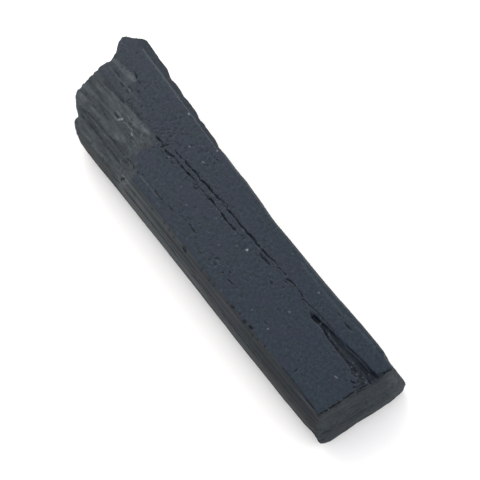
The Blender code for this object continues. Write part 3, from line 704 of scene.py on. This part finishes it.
# The faces near the cuts are split, so that their edges are crisp.
faces = crystal.data.polygons
centres, normals = readAll(faces, "center"), readAll(faces, "normal")
chosen = np.zeros(len(centres), dtype=bool)
for detail in details:
    for line in detail["lines"]:
        near, gap, half, along, length = nearLine(centres, normals, detail, line, wander["finer"])
        edge = (gap < half + wander["finer"]) & (gap > half - wander["finerInside"])
        chosen[near[edge]] = True
makeActive(crystal)
bpy.ops.object.mode_set(mode="EDIT")
bpy.ops.mesh.select_mode(type="FACE")
bpy.ops.mesh.select_all(action="DESELECT")
bpy.ops.object.mode_set(mode="OBJECT")
crystal.data.polygons.foreach_set("select", chosen)
bpy.ops.object.mode_set(mode="EDIT")
bpy.ops.mesh.subdivide(number_cuts=1)
bpy.ops.mesh.select_all(action="SELECT")
bpy.ops.mesh.quads_convert_to_tris()
bpy.ops.object.mode_set(mode="OBJECT")
print("finer net at", int(chosen.sum()), "faces")

points, normals = shapeOf(crystal.data)
for detail, seed, near, inside in alongLines(points, normals, wander["cutReach"]):
    out = np.array(faceSides[detail["on"]][1])
    lumps = unevenness(points[near], wander["depthLump"], seed + wander["depthSeed"])
    rise = wander["depth"] + wander["depthChange"] * lumps
    points[near] -= (detail["deep"] * rise * inside)[:, None] * out

for dent in dents:
    gap = np.linalg.norm(points[:, :2] - dent["at"], axis=1)
    share = (ramp(dent["reach"] - gap, 0, dent["reach"])
             * ramp(points[:, 2], *dent.get("above", dentsAbove)))
    points[:, :2] += share[:, None] * np.array(dent["shift"])

draw = np.random.default_rng(pits["seed"])
strewn = [(draw.uniform(*acrossX), draw.uniform(*acrossY), draw.uniform(*pits["across"]),
           draw.uniform(*pits["deep"]), draw.uniform(*pits["long"]))
          for count, acrossX, acrossY in pits["fields"] for i in range(count)]


def pitDepths(points, normals):
    # how deep the strewn pits are at each point, in mm
    depths = np.zeros(len(points))
    order = np.argsort(points[:, 0])
    sortedX = points[order, 0]
    faceUp = (normals[:, 2] > pits["facingUp"]) & (points[:, 2] > pits["above"])
    for x, y, half, deep, long in strewn:
        first, last = np.searchsorted(sortedX, (x - half * long, x + half * long))
        near = order[first:last]
        near = near[faceUp[near] & (np.abs(points[near, 1] - y) < half)]
        gap = np.hypot((points[near, 0] - x) / (half * long), (points[near, 1] - y) / half)
        depths[near] = np.maximum(depths[near], deep * np.clip(1 - gap ** 2, 0, 1))
    return depths


points[:, 2] -= pitDepths(points, normals)
crystal.data.vertices.foreach_set("co", points.ravel())
crystal.data.update()
print("cuts, ridges and pits made")

crystal.vertex_groups.clear()
addGroup("upper", regionsOf(*shapeOf(crystal.data))["upper"])
thin = crystal.modifiers.new("thin", "DECIMATE")
thin.ratio = body["triangles"] / sum(len(face.vertices) - 2 for face in crystal.data.polygons)
thin.vertex_group = "upper"
thin.invert_vertex_group = True
thin.vertex_group_factor = body["keepUpper"]
makeActive(crystal)
bpy.ops.object.modifier_apply(modifier=thin.name)
crystal.vertex_groups.clear()
print("crystal", len(crystal.data.polygons), "triangles")

# Black tourmaline. Sizes are in mm, and a range is the part of a noise that is spread out.
grains = {
    "mottle": {"size": (0.38, 0.38, 0.38), "detail": 5, "fine": 0.75, "range": (0.38, 0.62)},
    "growth": {"size": (14.0, 0.45, 0.45), "detail": 4, "fine": 0.75, "range": (0.35, 0.65)},
    "splinters": {"size": (5.0, 0.3, 0.3), "detail": 5, "fine": 0.7, "range": (0.34, 0.68)},
}
schorl = {
    "prismDark": "#121a22",  # blue-black, on the grown faces
    "prismLight": "#202a34",  # the haze of fine etching on them
    "brokenDark": "#12171b",  # olive-black, where light enters the splintered faces
    "brokenLight": "#31393e",
    "grownDark": "#080c10",
    "grownLight": "#13191d",
    # painted shade in cracks, pits and hollows, on the bevel and on the plain end
    "paintedShadeColour": "#060d17",
    "paleColour": "#8d9496",  # crushed stone and dust, with painted highlights and painted light
    "prismRoughness": 0.45,
    "brokenRoughness": 0.72,
    "ior": 1.64,  # schorl: 1.63 to 1.67
    "specular": 0.12,  # fine etching scatters much of the gloss
    "crumbs": 0.4,  # how much mottling lies over the splinters
    "violet": "#1e1f31",  # drifts of a warmer blue, on the grown faces
    "brown": "#1f1a20",  # and of a brown, on the dull ones
    "drifts": 2.6,
    "driftRange": (0.45, 0.65),
    "driftShare": 0.32,
    "speckles": 0.62,  # between fine specks of dust
    "speckleRange": (0.06, 0.14),  # from a speck's middle to its edge
    "speckleShare": 0.1,
    "specklesGone": 0.5,  # the share of them that is left out
    "streaks": (0.5, 1.5),  # how much less and more pale the dull faces' lines are
    "grain": 0.16,  # the fine grain: the real one is finer, and would not show
    "grainHeight": 0.04,
    "grainBump": 0.8,
    "lineHeight": 0.08,
}

# What wear and breaking add to the listed lines, together with painted shade in hollows, on the
# bevel and on the plain end, and painted light towards the stepped end and along the +Y edge.
# Lengths are in mm.
wearAndPaintedLight = {
    "clears": 0.05,  # the light at which nothing of the painted shade is left
    "paintedEndLight": {"prism": 0.013, "broken": 0.048, "grown": 0.12},  # painted light, paler towards the stepped end on the softbox's side, most at that end
    "paintedEndLightFrom": 24,  # x where it starts, and the length over which it grows
    "paintedEndLightOver": 48,
    "patches": 0.6,  # how uneven the painted light towards the stepped end and along the +Y edge is
    "calm": 0.5,  # how much less the far sides get of the painted light and of the worn edges' pale
    "paintedEndLightLumps": {"size": (6.0, 0.6, 0.6), "seed": 77},
    "rimLumps": {"size": (1.5, 0.5, 0.5), "seed": 78},
    "edges": 0.025,  # how pale sharp edges are
    "edgeRange": (0.08, 0.45),  # how sharp an edge is where wear starts, and where it is full
    "rim": 0.045,  # painted highlight along the +Y edge of the upper face
    "hollows": 0.5,  # painted shade in hollows: how dark it is, and how deep where that starts and is full
    "hollowRange": (0.12, 0.5),
    # painted shade on the bevel, for the darker reflection that it shows
    "bevelPaintedShade": 0.12,
    "bevelDull": 1.1,
    "endPaintedShade": 0.2,  # painted shade over the plain end
    "patchBroken": 0.9,
    "leastBroken": 0.3,  # on the +Y part of the shoulder
    "soft": 0.3,  # the shoulder's edge
    "ragged": 0.25,
    "raggedLumps": {"size": (0.5, 0.3, 0.3), "seed": 31},
}
olivePatch = [(-13.71, -4.62), (-13.35, -4.02), (-12.51, -3.92), (-11.42, -4.25), (-10.76, -4.59),
              (-10.60, -5.38), (-11.2, -6.3), (-12.26, -6.3), (-13.05, -5.22)]
# the directions of five shifted tries round a place, and one at it
around = [(1, 0), (0.3, 0.95), (-0.8, 0.6), (-0.8, -0.6), (0.3, -0.95), (0, 0)]


def addValue(name, values):
    attribute = crystal.data.attributes.new(name, "FLOAT", "POINT")
    attribute.data.foreach_set("value", values.astype(np.float32))


def sharpness():
    # how far each point stands out from its neighbours, in mm for each mm between them:
    # more than 0 on edges, less in hollows
    ends = readAll(crystal.data.edges, "vertices", 2, int)
    total, span, count = np.zeros(points.shape), np.zeros(len(points)), np.zeros(len(points))
    length = np.linalg.norm(points[ends[:, 0]] - points[ends[:, 1]], axis=1)
    for one, other in ((0, 1), (1, 0)):
        np.add.at(total, ends[:, one], points[ends[:, other]])
        np.add.at(span, ends[:, one], length)
        np.add.at(count, ends[:, one], 1)
    outward = ((points - total / count[:, None]) * normals).sum(axis=1)
    return outward / (span / count)


points, normals = shapeOf(crystal.data)
regions = regionsOf(points, normals)
sides, bevel = regions["sides"], regions["bevel"]
marks = {name: np.zeros(len(points)) for name in ("dark", "pale", "light")}
for detail, seed, near, inside in alongLines(points, normals, wander["toneReach"]):
    for name, values in marks.items():
        if name in detail:
            share = detail[name] * np.clip(inside * wander["tone"], 0, 1)
            values[near] = np.maximum(values[near], share)

dark, pale, light = marks.values()
dark[light > 0] *= 1 - np.clip(light[light > 0] / wearAndPaintedLight["clears"], 0, 1)
pale = np.maximum(pale, light)
edges = sharpness()
# painted shade in the strewn pits
dark = np.maximum(dark, pits["dark"] * pitDepths(points, normals) / pits["deep"][1])
inPatch = insideOf(olivePatch, points[:, :2]) * regions["patch"]
# the share of the tries that lie inside, so that the shoulder's edge is soft and ragged
ragged = wearAndPaintedLight["ragged"] * unevenness(points, **wearAndPaintedLight["raggedLumps"])
tries = [insideOf(breakEdge, points[:, :2] + ragged[:, None] + shift)
         for shift in wearAndPaintedLight["soft"] * np.array(around)]
snapped = (np.mean(tries, axis=0) * regions["upper"] * (1 - bevel)
           * (wearAndPaintedLight["leastBroken"] + (1 - wearAndPaintedLight["leastBroken"]) * regions["snapped"]))
broken = np.maximum.reduce([snapped, regions["plainEnd"], regions["steppedEnd"],
                            wearAndPaintedLight["patchBroken"] * inPatch])
# painted light: paler towards the stepped end, on the softbox's side
patchy = 1 + wearAndPaintedLight["patches"] * unevenness(points, **wearAndPaintedLight["paintedEndLightLumps"])
paintedEndLightShare = np.clip((wearAndPaintedLight["paintedEndLightFrom"] - points[:, 0]) / wearAndPaintedLight["paintedEndLightOver"], 0, 1) * patchy
paintedEndLightShare *= 1 - wearAndPaintedLight["calm"] * sides * regions["far"]
for name, values in (("prism", regions["prism"]), ("broken", broken), ("grown", sides)):
    pale += wearAndPaintedLight["paintedEndLight"][name] * paintedEndLightShare * values
pale += wearAndPaintedLight["edges"] * ramp(edges, *wearAndPaintedLight["edgeRange"]) * (1 - dark) * (1 - wearAndPaintedLight["calm"] * sides)
# painted highlight along the +Y edge of the upper face
patchy = 1 + wearAndPaintedLight["patches"] * unevenness(points, **wearAndPaintedLight["rimLumps"])
pale += wearAndPaintedLight["rim"] * regions["rim"] * patchy
# painted shade in hollows, on the bevel and over the plain end
dark = np.maximum.reduce([dark, wearAndPaintedLight["hollows"] * ramp(-edges, *wearAndPaintedLight["hollowRange"]),
                          wearAndPaintedLight["bevelPaintedShade"] * bevel, wearAndPaintedLight["endPaintedShade"] * regions["plainEnd"]])
addValue("broken", broken)
addValue("grown", sides)
addValue("dull", np.maximum.reduce([broken, sides, wearAndPaintedLight["bevelDull"] * bevel]))
# painted shade in cracks, pits, hollows, on the bevel and on the plain end
addValue("paintedShade", dark)
# pale of dust, crushed stone and worn edges, with painted highlights and painted light
addValue("pale", np.clip(pale, 0, 1))
print("surface values", round(float(edges.min()), 2), round(float(edges.max()), 2))


def perMetre(size):
    return 1 / (size * mm)


stone = bpy.data.materials.new("schorl, grown and broken faces")
tree = emptyTree(stone)
# Grown faces are satiny and blue-black, with fine lines along the crystal. Broken faces are
# duller, and a little olive, because their splinters let some light in. Dust and crushed
# stone lie pale on both. Painted shade darkens cracks, pits, hollows, the bevel and the plain
# end, and painted highlights and painted light make the +Y edge and the stepped end paler.
place = addNode(tree, "TexCoord").outputs["Object"]
value = {name: addNode(tree, "Attribute", attribute_name=name).outputs["Fac"]
         for name in ("broken", "grown", "paintedShade", "pale", "dull")}
noises, spread = {}, {}
for kind, grain in grains.items():
    scaled = addNode(tree, "Mapping", {"Scale": [perMetre(size) for size in grain["size"]]},
                     {"Vector": place})
    noises[kind] = addNode(tree, "TexNoise", {"Scale": 1.0, "Detail": grain["detail"],
                                              "Roughness": grain["fine"]},
                           {"Vector": scaled.outputs[0]}).outputs[0]
    spread[kind] = addNode(tree, "MapRange", between(grain["range"]),
                           {"Value": noises[kind]}).outputs[0]
crumbled = addNode(tree, "Mix", {0: schorl["crumbs"]},
                   {2: spread["splinters"], 3: spread["mottle"]}).outputs[0]
ribbed = addNode(tree, "Mix", links={0: value["grown"], 2: spread["mottle"],
                                     3: spread["growth"]}).outputs[0]
tones = {}
for kind, share in (("prism", spread["mottle"]), ("broken", crumbled), ("grown", ribbed)):
    tones[kind] = addNode(tree, "Mix", {6: toLinear(schorl[kind + "Dark"]),
                                        7: toLinear(schorl[kind + "Light"])},
                          {0: share}, data_type="RGBA").outputs[2]
tone = tones["prism"]
for kind in ("grown", "broken"):
    tone = addNode(tree, "Mix", links={0: value[kind], 6: tone, 7: tones[kind]},
                   data_type="RGBA").outputs[2]
drift = addNode(tree, "TexNoise", {"Scale": perMetre(schorl["drifts"]), "Detail": 1.0},
                {"Vector": place})
drifted = addNode(tree, "MapRange", {**between(schorl["driftRange"]),
                                     "To Max": schorl["driftShare"]},
                  {"Value": drift.outputs[0]})
warmer = addNode(tree, "Mix", {6: toLinear(schorl["violet"]), 7: toLinear(schorl["brown"])},
                 {0: value["dull"]}, data_type="RGBA")
tone = addNode(tree, "Mix", links={0: drifted.outputs[0], 6: tone, 7: warmer.outputs[2]},
               data_type="RGBA").outputs[2]

cells = addNode(tree, "TexVoronoi", {"Scale": perMetre(schorl["speckles"])}, {"Vector": place})
speck = addNode(tree, "MapRange", {**between(schorl["speckleRange"]), "To Min": 1.0,
                                   "To Max": 0.0}, {"Value": cells.outputs["Distance"]})
rare = addNode(tree, "SeparateColor", links={0: cells.outputs["Color"]})
some = addNode(tree, "MapRange", {"From Min": schorl["specklesGone"]}, {"Value": rare.outputs[0]})
speckShare = addNode(tree, "Math", links={0: speck.outputs[0], 1: some.outputs[0]},
                     operation="MULTIPLY")
speckPale = addNode(tree, "Math", {1: schorl["speckleShare"]}, {0: speckShare.outputs[0]},
                    operation="MULTIPLY")
streaks = addNode(tree, "Mix", links={0: value["grown"], 2: spread["splinters"],
                                      3: spread["growth"]})
streaked = addNode(tree, "MapRange", {"To Min": schorl["streaks"][0],
                                      "To Max": schorl["streaks"][1]},
                   {"Value": streaks.outputs[0]})
crests = addNode(tree, "Mix", {2: 1.0}, {0: value["dull"], 3: streaked.outputs[0]})
palest = addNode(tree, "Math", links={0: value["pale"], 1: crests.outputs[0]},
                 operation="MULTIPLY")
share = addNode(tree, "Math", links={0: palest.outputs[0], 1: speckPale.outputs[0]},
                operation="ADD", use_clamp=True).outputs[0]
# pale of dust, crushed stone and worn edges, with painted highlights and painted light
tone = addNode(tree, "Mix", {7: toLinear(schorl["paleColour"])}, {0: share, 6: tone},
               data_type="RGBA").outputs[2]
# painted shade in cracks, pits, hollows, on the bevel and on the plain end
tone = addNode(tree, "Mix", {7: toLinear(schorl["paintedShadeColour"])},
               {0: value["paintedShade"], 6: tone}, data_type="RGBA").outputs[2]

roughness = addNode(tree, "MapRange", {"To Min": schorl["prismRoughness"],
                                       "To Max": schorl["brokenRoughness"]},
                    {"Value": value["dull"]}, clamp=False)
fine = addNode(tree, "TexNoise", {"Scale": perMetre(schorl["grain"]), "Detail": 3.0},
               {"Vector": place})
fineBump = addNode(tree, "Bump", {"Strength": schorl["grainBump"],
                                  "Distance": schorl["grainHeight"] * mm},
                   {"Height": fine.outputs[0]})
lines = addNode(tree, "Mix", links={0: value["broken"], 2: noises["growth"],
                                    3: noises["splinters"]})
lineBump = addNode(tree, "Bump", {"Distance": schorl["lineHeight"] * mm},
                   {"Height": lines.outputs[0], "Strength": value["dull"],
                    "Normal": fineBump.outputs[0]})
surface = addNode(tree, "BsdfPrincipled", {"IOR": schorl["ior"],
                                           "Specular IOR Level": schorl["specular"]},
                  {"Base Color": tone, "Roughness": roughness.outputs[0],
                   "Normal": lineBump.outputs[0]})
addNode(tree, "OutputMaterial", links={"Surface": surface.outputs[0]})
crystal.data.materials.append(stone)

crystal.data.polygons.foreach_set("use_smooth", np.ones(len(crystal.data.polygons), dtype=bool))
rescale(crystal, mm)
deselectAll()

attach(crystal, "root")
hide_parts("tourmaline_crystal")

print("finished")
